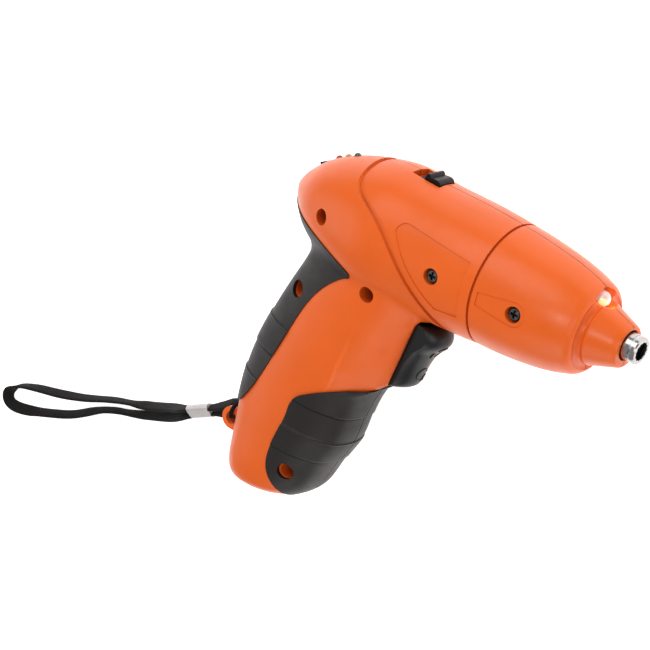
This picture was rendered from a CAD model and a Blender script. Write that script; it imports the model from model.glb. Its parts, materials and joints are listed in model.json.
import json
from math import cos, pi, radians, sin

import bmesh
import bpy
from mathutils import Matrix, Vector


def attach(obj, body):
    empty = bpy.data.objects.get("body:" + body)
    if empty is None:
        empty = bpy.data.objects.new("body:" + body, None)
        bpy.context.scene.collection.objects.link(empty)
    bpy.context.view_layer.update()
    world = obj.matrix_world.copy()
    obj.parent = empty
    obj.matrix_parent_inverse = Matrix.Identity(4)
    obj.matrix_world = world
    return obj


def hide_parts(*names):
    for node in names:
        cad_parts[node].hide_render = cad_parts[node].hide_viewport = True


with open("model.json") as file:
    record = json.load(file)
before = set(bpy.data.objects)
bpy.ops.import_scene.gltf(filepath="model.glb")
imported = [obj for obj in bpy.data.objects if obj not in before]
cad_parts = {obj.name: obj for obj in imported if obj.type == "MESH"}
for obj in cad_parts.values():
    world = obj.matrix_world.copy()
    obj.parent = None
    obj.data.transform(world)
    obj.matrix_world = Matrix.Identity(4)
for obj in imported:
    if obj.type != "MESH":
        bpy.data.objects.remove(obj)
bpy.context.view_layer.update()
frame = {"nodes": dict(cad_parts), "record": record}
nodes = frame["nodes"]

# A small cordless screwdriver on its left side. Lengths are in metres in the frame of the part:
# +X out of the bit socket, +Y to the top of the tool, +Z to its right side, which faces up.
MM = 0.001
FLOOR_Z = -26.1 * MM

# Camera of the photograph: turned about the tool's own upright axis, then rolled.
# Its focal length is given as a share of the sensor's width.
CAMERA_AZIMUTH = radians(34.0)
CAMERA_ELEVATION = radians(22.5)
CAMERA_ROLL = radians(13.7)
CAMERA_DISTANCE = 0.900
CAMERA_AIM = Vector((-102.95, -27.44, 43.4)) * MM
CAMERA_NEAR = 0.01
SENSOR_WIDTH = 36.0
FOCAL_SHARE = 3.8285

# Crimped sleeve that holds the ends of the wrist strap and of its tether
SLEEVE_FRONT = Vector((-182.4, -112.1, -9.0)) * MM
SLEEVE_REAR = Vector((-194.1, -118.8, -11.0)) * MM
SLEEVE_LEAN = radians(29.0)
SLEEVE_AXIS = (SLEEVE_REAR - SLEEVE_FRONT).normalized()
SLEEVE_LEVEL = Vector((SLEEVE_AXIS.y, -SLEEVE_AXIS.x, 0)).normalized()
SLEEVE_ACROSS = Matrix.Rotation(-SLEEVE_LEAN, 3, SLEEVE_AXIS) @ SLEEVE_LEVEL

# Strap and tether: flat woven bands. Their ends leave the sleeve straight, to either side of its axis.
BAND_WIDTH = 5.2 * MM
TETHER_WIDTH = 4.6 * MM
SQUEEZED_WIDTH = 4.0 * MM
EYELET_WIDTH = 1.8 * MM
BAND_THICKNESS = 1.3 * MM
STRAP_SIDE = 1.55 * MM
TETHER_SIDE = 1.3 * MM
CORD_STRAIGHT = 5.0 * MM
SPLINE_STEPS = 10

# Section of a band: its edges are rounded in steps, over a share of half its thickness, and the middle of
# each face sinks a little
RIM_STEPS = 4
RIM_SHARE = 0.95
FACE_SHARE = 0.92

# Route of the strap in millimetres: down from the sleeve, round on the floor, and up again
STRAP_LIFT = 2.75 * MM
STRAP_DOWN = ((-206.3, -124.0, -16.0), (-217.8, -130.2, -20.8))
STRAP_ON_FLOOR = (
    (-227.2, -134.6), (-236.1, -137.4), (-246.5, -140.8), (-259.6, -146.6), (-274.2, -151.4),
    (-289.0, -155.0), (-299.5, -158.6), (-305.4, -164.4), (-302.4, -169.6), (-292.2, -167.9),
    (-279.5, -163.2), (-266.2, -157.8), (-256.0, -151.2), (-246.5, -145.6), (-235.5, -142.0),
    (-226.2, -138.7),
)
STRAP_UP = ((-217.1, -134.4, -21.2), (-205.7, -128.3, -17.0))

# Route of the tether in millimetres: to the eyelet, through it, round its rim and back
TETHER_ROUND = (
    (-171.8, -108.2, -6.0), (-165.0, -105.2, -4.8), (-164.1, -104.2, 1.4), (-163.4, -102.6, 4.2),
    (-163.0, -98.4, 4.0), (-163.4, -96.9, -0.6), (-166.4, -98.6, -5.2), (-172.2, -103.5, -5.6),
)

# Lean of a band in radians, between its width and upright, at shares of its way.
# The strap stands on edge and leans this way and that as it goes round.
STRAP_LEANS = (
    (0.0, 0.36), (0.08, 0.50), (0.155, 0.50), (0.192, 0.05), (0.24, 0.20), (0.30, 0.32), (0.35, 0.42),
    (0.40, 0.32), (0.46, 0.05), (0.495, -0.8), (0.52, -1.1), (0.55, -0.95), (0.59, -0.50), (0.64, -0.50),
    (0.70, -0.60), (0.76, -0.25), (0.79, -0.15), (0.85, -0.55), (0.93, -0.80), (1.0, -0.75),
)
TETHER_LEANS = (
    (0.0, -0.5), (0.12, -0.65), (0.26, -0.65), (0.40, 0.3),
    (0.62, 0.3), (0.74, 0.65), (0.88, 0.65), (1.0, 0.5),
)

# Width of a band at shares of its way: squeezed in the sleeve, and the tether also in the eyelet and
# round its rim
STRAP_WIDTHS = ((0.0, SQUEEZED_WIDTH), (0.03, BAND_WIDTH), (0.97, BAND_WIDTH), (1.0, SQUEEZED_WIDTH))
TETHER_WIDTHS = (
    (0.0, SQUEEZED_WIDTH), (0.12, TETHER_WIDTH), (0.24, TETHER_WIDTH), (0.36, EYELET_WIDTH),
    (0.66, EYELET_WIDTH), (0.78, TETHER_WIDTH), (0.90, TETHER_WIDTH), (1.0, SQUEEZED_WIDTH),
)

# Work light: middle of its dome, its axis, and the glow that it throws on the nose from a point ahead of it
LIGHT_CENTRE = Vector((-20.4, 11.6, 0.0)) * MM
LIGHT_TILT = radians(4.0)
LIGHT_AXIS = Vector((cos(LIGHT_TILT), -sin(LIGHT_TILT), 0.0))
GLOW_AHEAD = 4.6 * MM
GLOW_RADIUS = 1.0 * MM
GLOW_POWER = 0.0006
GLOW_COLOUR = (1.0, 0.72, 0.5)

# Bright cup and lit die inside the dome: places along the light's axis and radii there, in millimetres
CUP_PROFILE = ((-2.4, 1.0), (-1.0, 1.15), (-0.2, 1.75), (-0.1, 1.75), (-0.8, 1.0), (-0.85, 0.7))
DIE_PROFILE = ((-0.8, 0.68), (-0.3, 0.9), (0.5, 0.85), (1.0, 0.6), (1.2, 0.25))
DIE_SHIFT = Vector((0.3, -0.8, 0.0)) * MM
LATHE_STEPS = 28

# Dish that opens the nose in front of the lamp: middle, and reach along X, Y and Z
DISH_CENTRE = Vector((-17.6, 12.9, 0.0)) * MM
DISH_REACH = Vector((4.2, 3.2, 7.0)) * MM

# Hollow ring at the foot of the snout: middle and radius of its section, and a point on the snout's axis
HOLLOW_MIDDLE = Vector((-17.6, 13.0, 0.0)) * MM
HOLLOW_RADIUS = 1.9 * MM
SNOUT_MIDDLE = Vector((0.0, -0.75, 0.0)) * MM
SHARP_FROM = radians(35.0)

# Slide on top of the barrel, seen from its side: a low plate with a bar across it and a rounded front,
# as X and Y in millimetres
SLIDE_PROFILE = (
    (-104.4, 23.25), (-104.4, 24.5), (-101.7, 25.4), (-101.4, 26.9), (-100.9, 27.45), (-100.0, 27.45),
    (-99.5, 26.9), (-99.2, 26.35), (-97.6, 26.55), (-96.2, 26.55), (-95.2, 26.1), (-94.6, 25.4),
    (-94.6, 23.25),
)
SLIDE_HALF_WIDTH = 4.7 * MM
SLIDE_ROUNDING = 0.3 * MM

# Raised marks on the trigger, a ring that ends in an arrow: height, radius, and the way each turns
TRIGGER_MARKS = {
    "trigger_mark_upper": (-36.6 * MM, 2.6 * MM, 1),
    "trigger_mark_lower": (-48.2 * MM, 2.7 * MM, -1),
}
MARK_HALF_WIDTH = 0.34 * MM
MARK_HEIGHT = 0.32 * MM
MARK_SINK = 0.3
MARK_START = radians(25)
MARK_SWEEP = radians(285)
MARK_STEPS = 36
ARROW_HALF_WIDTH = 3.2 * MARK_HALF_WIDTH
ARROW_BACK = 0.1
ARROW_AHEAD = 0.75

# Section of a mark's ring, in half widths and heights. Its foot sinks into the trigger.
MARK_SECTION = ((-1.0, -MARK_SINK), (-0.6, 0.8), (0.0, 1.0), (0.6, 0.8), (1.0, -MARK_SINK))

# Soft grips: the bands' edges tilt across the handle. A crease lies under a higher band, and an edge on top
# of one. A line fades out between two distances from its middle.
BAND_TILT = radians(3.0)
REAR_BANDS = {"middle": -150.0 * MM, "creases": (-62.4 * MM,), "edges": (-49.5 * MM, -75.5 * MM)}
FRONT_BANDS = {"middle": -115.0 * MM, "creases": (-75.5 * MM, -97.7 * MM), "edges": (-87.5 * MM,)}
BAND_LINE = (0.2 * MM, 0.65 * MM)
BAND_CREASE_DEPTH = 0.5 * MM
BAND_EDGE_HEIGHT = 0.25 * MM

# Dark line on the middle plane, where two halves meet
SHELL_SEAM = 0.26 * MM
GRIP_SEAM = 0.4 * MM

# Soft blend at the lower end of the cheek: its middle and reach on the housing and on the front grip
SHELL_BLEND = (Vector((-98.5, -45.0, 13.0)) * MM, 24.0 * MM)
GRIP_BLEND = (Vector((-103.0, -65.0, 11.0)) * MM, 12.0 * MM)
BLEND_CORE = 0.6
BLEND_RADIUS = 4.0 * MM
EDGE_RADIUS = 0.2 * MM

# Faint crease on each side of the handle, from the barrel down to the front grip: a point near its upper
# end, X gained per Y, half widths of its middle and its foot, and where it fades, counted from that point
CREASE_X = -108.7 * MM
CREASE_Y = -41.4 * MM
CREASE_SLOPE = 0.236
CREASE_LINE = (0.1 * MM, 1.0 * MM)
CREASE_FADE = (-10.0 * MM, 6.0 * MM)
CREASE_HEIGHT = 0.12 * MM
CREASE_SHARE = 0.3

# Dust in wells and grooves: how near a hiding wall has to be, and the most that it covers
GRIME_REACH = 12.0 * MM
GRIME_SHARE = 0.5
GRIME_SAMPLES = 8

# Rubbed edges of moulded pieces: how much of the rubbed tone shows, and how much lighter it is
RUBBED_SHARE = 0.18
RUBBED_SHADE = 1.5

# Fine relief in the materials
PLASTIC_GRAIN = 0.03 * MM
GRIP_GRAIN = 0.04 * MM
SCREW_GRAIN = 0.02 * MM
WRAP_GRAIN = 0.04 * MM
TURNED_RINGS = 0.02 * MM
THREAD_HEIGHT = 0.12 * MM
THREAD_FUZZ = 0.05 * MM
STITCH_LENGTH = 0.9 * MM

# Colours, linear
ORANGE = (0.705, 0.108, 0.0092)
DEEP_ORANGE = (0.28, 0.026, 0.003)
CHARCOAL = (0.0080, 0.0040, 0.0038)
GRIP_EDGE = (0.0200, 0.0175, 0.0170)
BLACK = (0.0040, 0.0036, 0.0034)
STRAP_BLACK = (0.0058, 0.0042, 0.0037)

# Nodes with a finish of their own kind
OWN_FINISH = {
    "rear_grip_right": "soft_grip_rear",
    "rear_grip_left": "soft_grip_rear",
    "strap_sleeve": "sleeve_metal",
}

# The pale floor glows a little, like a light table
FLOOR_REACH = 6.0
FLOOR_GLOW = 0.70

# Studio: strength of the white surroundings, and the place, size and power of each round lamp
WORLD_STRENGTH = 0.38
LAMPS_AIM = Vector((-0.10, -0.03, 0.0))
STUDIO_LAMPS = {
    "key": ((-0.35, 0.9, 0.8), 0.9, 6.2),
    "left": ((-0.9, -0.15, 0.55), 0.8, 2.3),
    "front": ((0.9, 0.1, 0.7), 0.7, 2.8),
    "top": ((0.16, 0.22, 0.92), 0.14, 2.0),
    "low_fill": ((0.1, -0.9, 0.6), 0.8, 2.6),
}


def add_to_scene(thing):
    bpy.context.scene.collection.objects.link(thing)


def add_camera():
    back = Vector((sin(CAMERA_AZIMUTH) * cos(CAMERA_ELEVATION), sin(CAMERA_ELEVATION),
                   cos(CAMERA_AZIMUTH) * cos(CAMERA_ELEVATION)))
    level = Vector((0, 1, 0)).cross(back).normalized()
    upright = back.cross(level)
    right = level * cos(CAMERA_ROLL) + upright * sin(CAMERA_ROLL)
    up = back.cross(right)
    camera = bpy.data.objects.new("camera", bpy.data.cameras.new("camera"))
    add_to_scene(camera)
    turn = Matrix((right, up, back)).transposed()
    camera.matrix_world = Matrix.Translation(CAMERA_AIM + back * CAMERA_DISTANCE) @ turn.to_4x4()
    camera.data.sensor_width = SENSOR_WIDTH
    camera.data.lens = SENSOR_WIDTH * FOCAL_SHARE
    camera.data.clip_start = CAMERA_NEAR
    bpy.context.scene.camera = camera


# Materials


class Shader:
    """A material with one principled shader, and short ways to add nodes to it."""

    def __init__(self, name, colour, roughness, metallic=0.0):
        self.material = bpy.data.materials.new(name)
        self.material.use_nodes = True
        self.tree = self.material.node_tree
        self.principled = self.tree.nodes["Principled BSDF"]
        self.set("Base Color", (*colour, 1.0))
        self.set("Roughness", roughness)
        self.set("Metallic", metallic)
        self.coordinates = self.node("ShaderNodeTexCoord").outputs["Object"]
        self.tone = None
        self.normal = None

    def set(self, socket, value):
        self.principled.inputs[socket].default_value = value

    def link(self, socket, value):
        self.tree.links.new(value, self.principled.inputs[socket])

    def feed(self, socket, value):
        """Link a socket to the output of another node, or set it to a value."""
        if isinstance(value, bpy.types.NodeSocket):
            self.tree.links.new(value, socket)
        else:
            socket.default_value = value

    def node(self, kind, **inputs):
        """A new node and what goes into it. A space in an input's name is written as _."""
        made = self.tree.nodes.new(kind)
        for name, value in inputs.items():
            self.feed(made.inputs[name.replace("_", " ")], value)
        return made

    def math(self, operation, first, second=0.0):
        made = self.tree.nodes.new("ShaderNodeMath")
        made.operation = operation
        self.feed(made.inputs[0], first)
        self.feed(made.inputs[1], second)
        return made.outputs["Value"]

    def axis(self, letter):
        return self.node("ShaderNodeSeparateXYZ", Vector=self.coordinates).outputs[letter]

    def pointiness(self):
        return self.node("ShaderNodeNewGeometry").outputs["Pointiness"]

    def noise(self, scale, detail=3.0, roughness=0.55, vector=None):
        made = self.node("ShaderNodeTexNoise", Vector=vector or self.coordinates, Scale=scale, Detail=detail,
                         Roughness=roughness)
        return made.outputs["Fac"]

    def spread(self, value, low, high, from_low=0.3, from_high=0.7):
        """A value taken from one range to another, and held at its ends."""
        made = self.node("ShaderNodeMapRange", Value=value, From_Min=from_low, From_Max=from_high,
                         To_Min=low, To_Max=high)
        return made.outputs["Result"]

    def ramp(self, value, first, second, from_low=0.3, from_high=0.7):
        """A colour between two others, by a value within a range."""
        made = self.node("ShaderNodeValToRGB", Fac=value)
        places = (from_low, from_high)
        for element, place, colour in zip(made.color_ramp.elements, places, (first, second)):
            element.position = place
            element.color = (*colour, 1.0)
        return made.outputs["Color"]

    def mottle(self, value, dark, light, **limits):
        """Colour the surface between two tones, by a noise or another value."""
        self.tone = self.ramp(value, dark, light, **limits)
        self.link("Base Color", self.tone)

    def paint(self, share, colour):
        """Lay a colour over the tone so far, by a share from 0 to 1."""
        made = self.tree.nodes.new("ShaderNodeMix")
        made.data_type = "RGBA"
        sockets = {socket.identifier: socket for socket in (*made.inputs, *made.outputs)}
        self.feed(sockets["Factor_Float"], share)
        self.feed(sockets["A_Color"], self.tone)
        self.feed(sockets["B_Color"], (*colour, 1.0))
        self.tone = sockets["Result_Color"]
        self.link("Base Color", self.tone)

    def gloss(self, value, low, high):
        """Roughness that wanders between two values, by a noise."""
        self.link("Roughness", self.spread(value, low, high))

    def bump(self, height, distance):
        """One more layer of relief. distance is its depth in metres."""
        made = self.node("ShaderNodeBump", Distance=distance, Height=height)
        if self.normal is not None:
            self.feed(made.inputs["Normal"], self.normal)
        self.normal = made.outputs["Normal"]
        self.link("Normal", self.normal)

    def soften(self, middle, reach):
        """Round off the shading of edges: slightly everywhere, and widely near a place on either side."""
        offsets = [
            self.math("SUBTRACT", self.axis("X"), middle.x),
            self.math("SUBTRACT", self.axis("Y"), middle.y),
            self.math("SUBTRACT", self.math("ABSOLUTE", self.axis("Z")), middle.z),
        ]
        along, up, aside = [self.math("MULTIPLY", offset, offset) for offset in offsets]
        distance = self.math("SQRT", self.math("ADD", self.math("ADD", along, up), aside))
        radius = self.spread(distance, BLEND_RADIUS, EDGE_RADIUS, BLEND_CORE * reach, reach)
        self.normal = self.node("ShaderNodeBevel", Radius=radius).outputs["Normal"]


def shade(colour, factor):
    return tuple(min(1.0, part * factor) for part in colour)


def moulded(name, colour, roughness, grain_scale, grain_depth, cloud=0.06, sheen=0.0, blend=None):
    """Moulded plastic or rubber: cloudy tone, rubbed edges, patchy gloss and a fine eroded grain."""
    shader = Shader(name, colour, roughness)
    if blend:
        shader.soften(*blend)
    shader.mottle(shader.noise(38.0, detail=4.0), shade(colour, 1 - cloud), shade(colour, 1 + cloud))
    rubbed = shader.ramp(shader.pointiness(), (0, 0, 0), (1, 1, 1), from_low=0.54, from_high=0.62)
    shader.paint(shader.math("MULTIPLY", rubbed, RUBBED_SHARE), shade(colour, RUBBED_SHADE))
    shader.gloss(shader.noise(160.0), roughness - 0.05, roughness + 0.06)
    shader.bump(shader.noise(grain_scale, detail=2.0), grain_depth)
    shader.set("Sheen Weight", sheen)
    return shader


def add_seam(shader, half_width, colour):
    """The fine dark line on the middle plane, where two halves meet."""
    across = shader.math("ABSOLUTE", shader.axis("Z"))
    shader.paint(shader.spread(across, 1.0, 0.0, 0.5 * half_width, half_width), colour)
    shader.bump(shader.spread(across, 0.0, 1.0, 0.4 * half_width, 1.4 * half_width), half_width)


def add_bands(shader, crease_colour, edge_colour, middle, creases, edges):
    """Dark creases and rubbed edges where the bands of a soft grip step up and down."""
    tilted = shader.math("MULTIPLY", shader.math("SUBTRACT", shader.axis("X"), middle), sin(BAND_TILT))
    level = shader.math("ADD", tilted, shader.math("MULTIPLY", shader.axis("Y"), cos(BAND_TILT)))
    lines = [(place, crease_colour, -BAND_CREASE_DEPTH) for place in creases]
    lines += [(place, edge_colour, BAND_EDGE_HEIGHT) for place in edges]
    for place, colour, height in lines:
        away = shader.math("ABSOLUTE", shader.math("SUBTRACT", level, place * cos(BAND_TILT)))
        line = shader.spread(away, 1.0, 0.0, *BAND_LINE)
        shader.paint(line, colour)
        shader.bump(line, height)


def add_crease(shader, colour):
    """A soft raised line down each side of the handle, which fades out at its upper end."""
    below = shader.math("SUBTRACT", shader.axis("Y"), CREASE_Y)
    line_x = shader.math("ADD", shader.math("MULTIPLY", below, CREASE_SLOPE), CREASE_X)
    away = shader.math("ABSOLUTE", shader.math("SUBTRACT", shader.axis("X"), line_x))
    line = shader.spread(away, 1.0, 0.0, *CREASE_LINE)
    fade = shader.spread(below, 1.0, 0.0, *CREASE_FADE)
    share = shader.math("MULTIPLY", line, fade)
    shader.paint(shader.math("MULTIPLY", share, CREASE_SHARE), colour)
    shader.bump(share, CREASE_HEIGHT)


def add_grime(shader, colour):
    """Dust that gathers in wells and grooves and along the edges of the grips."""
    hidden = shader.node("ShaderNodeAmbientOcclusion", Distance=GRIME_REACH)
    hidden.samples = GRIME_SAMPLES
    shader.paint(shader.spread(hidden.outputs["AO"], GRIME_SHARE, 0.0, 0.1, 0.6), colour)


def orange_shell():
    """Satin orange housing."""
    shader = moulded("orange_shell", ORANGE, roughness=0.33, grain_scale=2600.0, grain_depth=PLASTIC_GRAIN,
                     cloud=0.035, blend=SHELL_BLEND)
    add_grime(shader, DEEP_ORANGE)
    add_seam(shader, SHELL_SEAM, shade(ORANGE, 0.32))
    add_crease(shader, shade(ORANGE, 1.4))
    shader.set("Specular IOR Level", 0.30)
    shader.set("Subsurface Weight", 0.06)
    shader.set("Subsurface Radius", (0.004, 0.0015, 0.0006))
    shader.set("Subsurface Scale", 0.6)
    return shader.material


def soft_grip(name, bands):
    """Soft black grip with its bands and the line between its halves."""
    shader = moulded(name, CHARCOAL, roughness=0.50, grain_scale=3400.0, grain_depth=GRIP_GRAIN, cloud=0.12,
                     sheen=0.02, blend=GRIP_BLEND)
    add_seam(shader, GRIP_SEAM, shade(CHARCOAL, 0.2))
    add_bands(shader, shade(CHARCOAL, 0.15), GRIP_EDGE, **bands)
    shader.set("Specular IOR Level", 0.36)
    return shader.material


def black_plastic(name, specular):
    """Smooth black plastic of the trigger, the slide and other small pieces."""
    shader = moulded(name, BLACK, roughness=0.36, grain_scale=2800.0, grain_depth=PLASTIC_GRAIN, cloud=0.15)
    shader.set("Specular IOR Level", specular)
    return shader.material


def grey_nylon():
    """Dull grey nylon of pieces inside."""
    shader = moulded("grey_nylon", (0.16, 0.16, 0.165), roughness=0.5, grain_scale=1800.0,
                     grain_depth=PLASTIC_GRAIN)
    return shader.material


def steel(name, colour, roughness, ring_scale=None):
    """Metal with scattered scratches and tarnish, and where it is turned, fine rings along X."""
    shader = Shader(name, colour, roughness, metallic=1.0)
    stretched = shader.node("ShaderNodeMapping", Vector=shader.coordinates, Scale=(900.0, 60.0, 60.0))
    hairs = shader.noise(1.0, detail=4.0, roughness=0.6, vector=stretched.outputs["Vector"])
    shader.gloss(hairs, roughness - 0.05, roughness + 0.10)
    shader.mottle(shader.noise(220.0), shade(colour, 0.86), colour)
    if ring_scale:
        rings = shader.node("ShaderNodeTexWave", Vector=shader.coordinates, Scale=ring_scale, Distortion=0.4)
        rings.bands_direction = "X"
        shader.bump(rings.outputs["Fac"], TURNED_RINGS)
    return shader.material


def black_screw():
    """Blackened steel screws with bright scuffs on the edges of the cross."""
    shader = Shader("black_screw", (0.02, 0.02, 0.021), roughness=0.38, metallic=0.85)
    shader.mottle(shader.pointiness(), (0.018, 0.018, 0.019), (0.20, 0.20, 0.20), from_low=0.52,
                  from_high=0.6)
    shader.gloss(shader.noise(900.0), 0.30, 0.50)
    shader.bump(shader.noise(2500.0), SCREW_GRAIN)
    return shader.material


def lamp(name, colour):
    """Tinted lamp resin, slightly cloudy."""
    shader = Shader(name, colour, roughness=0.16)
    shader.mottle(shader.noise(700.0), shade(colour, 0.8), shade(colour, 1.15))
    shader.gloss(shader.noise(500.0), 0.10, 0.24)
    shader.set("Coat Weight", 0.6)
    shader.set("Coat Roughness", 0.08)
    shader.set("Transmission Weight", 0.25)
    return shader.material


def clear_lamp():
    """Clear lamp resin of the work light, faintly cloudy and lit from inside."""
    shader = Shader("clear_lamp", (0.95, 0.76, 0.72), roughness=0.10)
    shader.mottle(shader.noise(900.0), (0.90, 0.68, 0.64), (0.97, 0.82, 0.79))
    shader.gloss(shader.noise(600.0), 0.05, 0.16)
    shader.set("IOR", 1.45)
    shader.set("Transmission Weight", 0.55)
    shader.set("Emission Color", (1.0, 0.72, 0.66, 1.0))
    shader.set("Emission Strength", 0.16)
    shader.set("Coat Weight", 0.5)
    shader.set("Coat Roughness", 0.05)
    return shader.material


def lamp_die():
    """The lit yellow phosphor in the work light, brighter and darker by its grains."""
    shader = Shader("lamp_die", (0.95, 0.72, 0.18), roughness=0.5)
    grains = shader.noise(4000.0, detail=2.0)
    shader.mottle(grains, (0.90, 0.62, 0.12), (0.98, 0.80, 0.25))
    shader.gloss(grains, 0.4, 0.6)
    shader.link("Emission Strength", shader.spread(grains, 1.4, 2.2))
    shader.set("Emission Color", (1.0, 0.46, 0.05, 1.0))
    return shader.material


def cell_wrap():
    """Green shrink wrap of the cells."""
    shader = Shader("cell_wrap", (0.05, 0.16, 0.09), roughness=0.3)
    shader.mottle(shader.noise(120.0), (0.04, 0.13, 0.07), (0.06, 0.18, 0.10))
    shader.gloss(shader.noise(300.0), 0.22, 0.36)
    shader.bump(shader.noise(500.0), WRAP_GRAIN)
    return shader.material


def circuit_board():
    """Green board with paler tracks."""
    shader = Shader("circuit_board", (0.02, 0.12, 0.04), roughness=0.4)
    tracks = shader.node("ShaderNodeTexBrick", Vector=shader.coordinates, Scale=260.0,
                         Color1=(0.02, 0.13, 0.045, 1), Color2=(0.018, 0.10, 0.035, 1),
                         Mortar=(0.05, 0.20, 0.07, 1))
    shader.link("Base Color", tracks.outputs["Color"])
    shader.gloss(shader.noise(400.0), 0.32, 0.48)
    return shader.material


def strap_fabric():
    """Woven nylon: the weave runs on the band's own UV lines."""
    shader = Shader("strap_fabric", STRAP_BLACK, roughness=0.85)
    lines = shader.node("ShaderNodeUVMap")
    lines.uv_map = "band"
    weave = shader.node("ShaderNodeTexBrick", Vector=lines.outputs["UV"], Scale=1.0, Brick_Width=1.0,
                        Row_Height=0.5, Mortar_Size=0.09, Mortar_Smooth=0.8,
                        Color1=(*shade(STRAP_BLACK, 1.35), 1), Color2=(*shade(STRAP_BLACK, 0.9), 1),
                        Mortar=(*shade(STRAP_BLACK, 0.35), 1))
    shader.link("Base Color", weave.outputs["Color"])
    shader.bump(shader.math("SUBTRACT", 1.0, weave.outputs["Fac"]), THREAD_HEIGHT)
    shader.bump(shader.noise(2200.0), THREAD_FUZZ)
    shader.set("Specular IOR Level", 0.22)
    shader.set("Sheen Weight", 0.02)
    shader.set("Sheen Roughness", 0.5)
    return shader.material


def pale_floor():
    """White floor that glows a little."""
    shader = Shader("floor", (0.94, 0.94, 0.94), roughness=0.9)
    shader.mottle(shader.noise(3.0), (0.93, 0.93, 0.93), (0.95, 0.95, 0.95))
    shader.set("Emission Color", (1.0, 1.0, 1.0, 1.0))
    shader.set("Emission Strength", FLOOR_GLOW)
    return shader.material


def make_materials():
    return {
        "orange_shell": orange_shell(),
        "soft_grip": soft_grip("soft_grip_front", FRONT_BANDS),
        "soft_grip_rear": soft_grip("soft_grip_rear", REAR_BANDS),
        "black_plastic": black_plastic("black_plastic", specular=0.34),
        "slide_plastic": black_plastic("slide_plastic", specular=0.16),
        "grey_nylon": grey_nylon(),
        "black_screw": black_screw(),
        "bright_steel": steel("bright_steel", (0.45, 0.44, 0.43), roughness=0.17, ring_scale=160.0),
        "sleeve_metal": steel("sleeve_metal", (0.68, 0.64, 0.63), roughness=0.56),
        "spring_steel": steel("spring_steel", (0.55, 0.55, 0.56), roughness=0.28),
        "gear_steel": steel("gear_steel", (0.48, 0.48, 0.50), roughness=0.32, ring_scale=400.0),
        "motor_steel": steel("motor_steel", (0.58, 0.58, 0.58), roughness=0.36, ring_scale=120.0),
        "magnet": steel("magnet", (0.10, 0.10, 0.11), roughness=0.55),
        "bronze": steel("bronze", (0.55, 0.34, 0.15), roughness=0.34, ring_scale=400.0),
        "copper": steel("copper", (0.78, 0.38, 0.22), roughness=0.30, ring_scale=300.0),
        "clear_lamp": clear_lamp(),
        "lamp_die": lamp_die(),
        "red_lamp": lamp("red_lamp", (0.42, 0.030, 0.022)),
        "amber_lamp": lamp("amber_lamp", (0.62, 0.31, 0.12)),
        "green_lamp": lamp("green_lamp", (0.04, 0.062, 0.042)),
        "circuit_board": circuit_board(),
        "cell_wrap": cell_wrap(),
        "strap_fabric": strap_fabric(),
        "floor": pale_floor(),
    }


def dress_nodes():
    """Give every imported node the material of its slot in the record, or a finish of its own kind."""
    for entry in frame["record"]["subparts"]:
        node = entry["node"]
        mesh = nodes[node].data
        mesh.materials.clear()
        mesh.materials.append(materials[OWN_FINISH.get(node, entry["material_slot"])])


# Meshes


def skin(bm, rings, smooth=True):
    """Faces round a row of rings, and one on each end. Gives those round the rings, ring by ring."""
    count = len(rings[0])
    faces = []
    for first, second in zip(rings, rings[1:]):
        for corner in range(count):
            follow = (corner + 1) % count
            face = bm.faces.new((first[corner], first[follow], second[follow], second[corner]))
            face.smooth = smooth
            faces.append(face)
    bm.faces.new(list(reversed(rings[0])))
    bm.faces.new(rings[-1])
    return faces


def finish_mesh(name, bm, finish):
    """Turn a bmesh into a piece of the scene with one material."""
    bmesh.ops.recalc_face_normals(bm, faces=bm.faces)
    mesh = bpy.data.meshes.new(name)
    bm.to_mesh(mesh)
    bm.free()
    mesh.materials.append(materials[finish])
    piece = bpy.data.objects.new(name, mesh)
    add_to_scene(piece)
    return piece


def mesh_as_shown(thing):
    """A new mesh of a curve, or of a mesh with its modifiers."""
    bpy.context.view_layer.update()
    return bpy.data.meshes.new_from_object(thing.evaluated_get(bpy.context.evaluated_depsgraph_get()))


# Strap and tether


def millimetres(points):
    return [Vector(point) * MM for point in points]


def cord_route(end, side, way, middle):
    """A way out of an end of the sleeve, through points in the middle, and back to its other side."""
    first = end + side
    last = end - side
    return [first, first + way * CORD_STRAIGHT, *middle, last + way * CORD_STRAIGHT, last]


def strap_route():
    height = (FLOOR_Z + STRAP_LIFT) / MM
    on_floor = [(x, y, height) for x, y in STRAP_ON_FLOOR]
    middle = millimetres([*STRAP_DOWN, *on_floor, *STRAP_UP])
    return cord_route(SLEEVE_REAR, SLEEVE_ACROSS * STRAP_SIDE, SLEEVE_AXIS, middle)


def tether_route():
    return cord_route(SLEEVE_FRONT, -SLEEVE_ACROSS * TETHER_SIDE, -SLEEVE_AXIS, millimetres(TETHER_ROUND))


def spline_points(name, route):
    """Points along the smooth line of a route, read from its own spline."""
    curve = bpy.data.curves.new(name, "CURVE")
    curve.dimensions = "3D"
    spline = curve.splines.new("NURBS")
    spline.points.add(len(route) - 1)
    for point, place in zip(spline.points, route):
        point.co = (*place, 1.0)
    spline.order_u = 3
    spline.use_endpoint_u = True
    spline.resolution_u = SPLINE_STEPS
    line = bpy.data.objects.new(name, curve)
    add_to_scene(line)
    mesh = mesh_as_shown(line)
    points = []
    for vertex in mesh.vertices:
        if not points or (vertex.co - points[-1]).length > 0.01 * MM:
            points.append(vertex.co.copy())
    bpy.data.objects.remove(line)
    bpy.data.meshes.remove(mesh)
    return points


def run_lengths(points):
    """The way from the first point to each point."""
    lengths = [0.0]
    for first, second in zip(points, points[1:]):
        lengths.append(lengths[-1] + (second - first).length)
    return lengths


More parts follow.
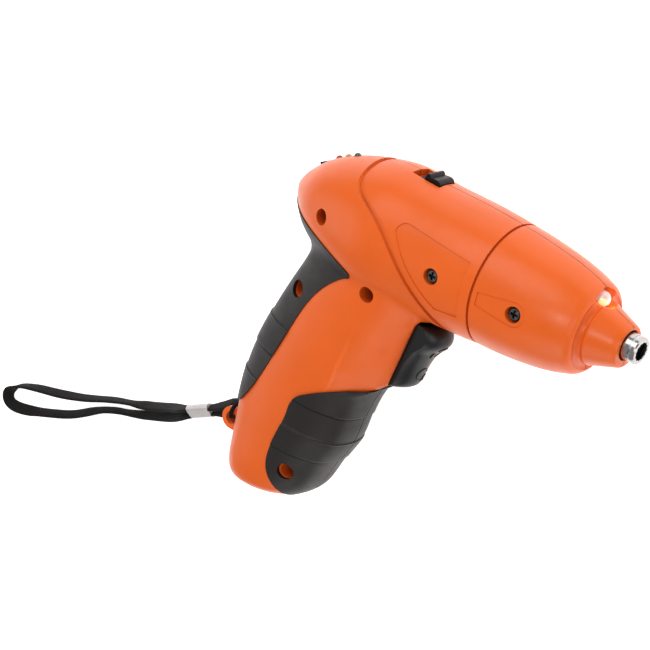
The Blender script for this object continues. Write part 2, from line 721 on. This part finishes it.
def between(share, stops):
    """A smooth value between stops given as (share of the way, value)."""
    for (share_a, value_a), (share_b, value_b) in zip(stops, stops[1:]):
        if share <= share_b:
            step = max(0.0, (share - share_a) / (share_b - share_a))
            return value_a + (value_b - value_a) * step * step * (3 - 2 * step)
    return stops[-1][1]


def band_section(width):
    """Cross-section of a band: nearly flat faces, and edges that are rounded off."""
    half_width = width / 2
    half_thick = BAND_THICKNESS / 2
    rim = half_thick * RIM_SHARE
    corners = []
    for side in (1, -1):
        for step in range(RIM_STEPS + 1):
            angle = pi / 2 - pi * step / RIM_STEPS
            corners.append((side * (half_width - rim + rim * cos(angle)), side * half_thick * sin(angle)))
        corners.append((0.0, -side * half_thick * FACE_SHARE))
    return corners


def band_mesh(name, points, leans, widths):
    """A band swept along points. Its lean and its width are given at shares of the way."""
    bm = bmesh.new()
    uv_layer = bm.loops.layers.uv.new("band")
    lengths = run_lengths(points)
    rings = []
    for index, place in enumerate(points):
        before = points[max(index - 1, 0)]
        after = points[min(index + 1, len(points) - 1)]
        along = (after - before).normalized()
        level = Vector((0, 0, 1)).cross(along)
        level = level.normalized() if level.length > 0.05 else Vector((1, 0, 0))
        upright = along.cross(level)
        share = lengths[index] / lengths[-1]
        angle = between(share, leans)
        wide = upright * cos(angle) + level * sin(angle)
        thin = along.cross(wide)
        section = band_section(between(share, widths))
        rings.append([bm.verts.new(place + wide * u + thin * v) for u, v in section])
    for number, face in enumerate(skin(bm, rings)):
        step, corner = divmod(number, len(rings[0]))
        for loop, (ahead, around) in zip(face.loops, ((0, 0), (0, 1), (1, 1), (1, 0))):
            loop[uv_layer].uv = (lengths[step + ahead] / STITCH_LENGTH, corner + around)
    return finish_mesh(name, bm, "strap_fabric")


# Work light and nose


def lathe(name, profile, place, axis, finish):
    """A round piece turned about an axis, from places along it and radii in millimetres."""
    bm = bmesh.new()
    turn = axis.to_track_quat("Z", "Y").to_matrix()
    rings = []
    for along, radius in profile:
        ring = []
        for step in range(LATHE_STEPS):
            angle = 2 * pi * step / LATHE_STEPS
            offset = Vector((radius * cos(angle), radius * sin(angle), along)) * MM
            ring.append(bm.verts.new(place + turn @ offset))
        rings.append(ring)
    skin(bm, rings)
    return finish_mesh(name, bm, finish)


def add_lamp_inside():
    """The lit die in its bright cup, inside the clear dome."""
    for name, profile, place, finish, slot in (
            ("work_light_cup", CUP_PROFILE, LIGHT_CENTRE, "sleeve_metal", "bright_steel"),
            ("work_light_die", DIE_PROFILE, LIGHT_CENTRE + DIE_SHIFT, "lamp_die", "clear_lamp")):
        piece = lathe(name, profile, place, LIGHT_AXIS, finish)
        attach(piece, "body")


def smooth_cutter(name, bm):
    """A body to cut with, which leaves smooth orange faces."""
    for face in bm.faces:
        face.smooth = True
    return finish_mesh(name, bm, "orange_shell")


def dish_cutter():
    """An egg-shaped body that hollows the nose round the work light."""
    bm = bmesh.new()
    bmesh.ops.create_uvsphere(bm, u_segments=48, v_segments=24, radius=1.0)
    for vertex in bm.verts:
        vertex.co = DISH_CENTRE + Vector(side * reach for side, reach in zip(vertex.co, DISH_REACH))
    return smooth_cutter("dish_cutter", bm)


def hollow_cutter():
    """A ring round the snout that deepens the hollow at its foot."""
    bm = bmesh.new()
    bmesh.ops.create_circle(bm, segments=24, radius=HOLLOW_RADIUS, matrix=Matrix.Translation(HOLLOW_MIDDLE))
    bmesh.ops.spin(bm, geom=bm.verts[:] + bm.edges[:], cent=SNOUT_MIDDLE, axis=(1, 0, 0), angle=2 * pi,
                   steps=96, use_merge=True)
    return smooth_cutter("hollow_cutter", bm)


def cut_nose():
    """Stand-ins for the housing halves, with a wider dish at the lamp and a deeper hollow at the snout."""
    cutters = [hollow_cutter(), dish_cutter()]
    for node in ("housing_right", "housing_left"):
        shell = bpy.data.objects.new(f"{node}_dished", nodes[node].data.copy())
        add_to_scene(shell)
        for cutter in cutters:
            cut = shell.modifiers.new(cutter.name, "BOOLEAN")
            cut.operation = "DIFFERENCE"
            cut.solver = "EXACT"
            cut.object = cutter
        dished = mesh_as_shown(shell)
        shell.modifiers.clear()
        if "custom_normal" in dished.attributes:
            dished.attributes.remove(dished.attributes["custom_normal"])
        dished.set_sharp_from_angle(angle=SHARP_FROM)
        shell.data = dished
        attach(shell, "body")
        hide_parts(node)
    for cutter in cutters:
        bpy.data.objects.remove(cutter)


# Slide and trigger


def add_slide():
    """The slide on top of the barrel, rounded along the edges of its two sides."""
    bm = bmesh.new()
    sides = []
    for z in (-SLIDE_HALF_WIDTH, SLIDE_HALF_WIDTH):
        sides.append([bm.verts.new((x * MM, y * MM, z)) for x, y in SLIDE_PROFILE])
    skin(bm, sides, smooth=False)
    bmesh.ops.recalc_face_normals(bm, faces=bm.faces)
    rims = [edge for edge in bm.edges if edge.verts[0].co.z == edge.verts[1].co.z]
    bmesh.ops.bevel(bm, geom=rims, offset=SLIDE_ROUNDING, segments=3, affect="EDGES", profile=0.5,
                    clamp_overlap=True)
    button = finish_mesh("slide_button", bm, "slide_plastic")
    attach(button, "light_slide")
    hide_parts("light_slide")


def on_trigger(y, z):
    """The point of the trigger's front at a height and side, and the way out of its surface."""
    place, normal = nodes["trigger"].ray_cast(Vector((0.0, y, z)), Vector((-1, 0, 0)))[1:3]
    return place, normal


def add_trigger_mark(name, height, radius, way):
    """A raised ring on the trigger's front, which ends in the head of an arrow."""
    bm = bmesh.new()

    def lifted(angle, reach, lift):
        place, normal = on_trigger(height + reach * sin(angle), way * reach * cos(angle))
        return bm.verts.new(place + normal * lift * MARK_HEIGHT)

    rings = []
    for step in range(MARK_STEPS + 1):
        angle = MARK_START + MARK_SWEEP * step / MARK_STEPS
        rings.append([lifted(angle, radius + aside * MARK_HALF_WIDTH, lift) for aside, lift in MARK_SECTION])
    skin(bm, rings)
    end = MARK_START + MARK_SWEEP
    head = [
        (end - ARROW_BACK, radius - ARROW_HALF_WIDTH),
        (end - ARROW_BACK, radius + ARROW_HALF_WIDTH),
        (end + ARROW_AHEAD, radius),
    ]
    bottom = [lifted(angle, reach, -MARK_SINK) for angle, reach in head]
    top = [lifted(angle, reach, 1.0) for angle, reach in head]
    skin(bm, [bottom, top], smooth=False)
    mark = finish_mesh(name, bm, "black_plastic")
    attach(mark, "trigger")


# Stage and light


def add_floor():
    corners = [(x * FLOOR_REACH, y * FLOOR_REACH, FLOOR_Z) for x, y in ((-1, -1), (1, -1), (1, 1), (-1, 1))]
    mesh = bpy.data.meshes.new("floor")
    mesh.from_pydata(corners, [], [(0, 1, 2, 3)])
    mesh.materials.append(materials["floor"])
    floor = bpy.data.objects.new("floor", mesh)
    add_to_scene(floor)


def add_lamp(name, kind, place, power):
    made = bpy.data.objects.new(name, bpy.data.lights.new(name, kind))
    made.data.energy = power
    made.location = place
    add_to_scene(made)
    return made


def add_light():
    """White surroundings, the studio's lamps, and the glow of the work light."""
    world = bpy.data.worlds.new("studio")
    world.use_nodes = True
    background = world.node_tree.nodes["Background"]
    background.inputs["Color"].default_value = (1.0, 1.0, 1.0, 1.0)
    background.inputs["Strength"].default_value = WORLD_STRENGTH
    bpy.context.scene.world = world
    for name, (place, size, power) in STUDIO_LAMPS.items():
        made = add_lamp(name, "AREA", place, power)
        made.data.shape = "DISK"
        made.data.size = size
        made.rotation_euler = (LAMPS_AIM - Vector(place)).to_track_quat("-Z", "Y").to_euler()
    glow = add_lamp("work_light_glow", "POINT", LIGHT_CENTRE + LIGHT_AXIS * GLOW_AHEAD, GLOW_POWER)
    glow.data.shadow_soft_size = GLOW_RADIUS
    glow.data.color = GLOW_COLOUR


materials = make_materials()
dress_nodes()
add_camera()

strap_points = spline_points("strap_line", strap_route())
strap = band_mesh("strap_band", strap_points, STRAP_LEANS, STRAP_WIDTHS)
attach(strap, "body")
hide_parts("strap_loop")

tether_points = spline_points("tether_line", tether_route())
tether = band_mesh("tether_band", tether_points, TETHER_LEANS, TETHER_WIDTHS)
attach(tether, "body")
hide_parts("tether_loop")

add_lamp_inside()
cut_nose()
add_slide()
for mark_name, mark in TRIGGER_MARKS.items():
    add_trigger_mark(mark_name, *mark)
add_floor()
add_light()
bpy.context.scene.view_settings.view_transform = "Standard"
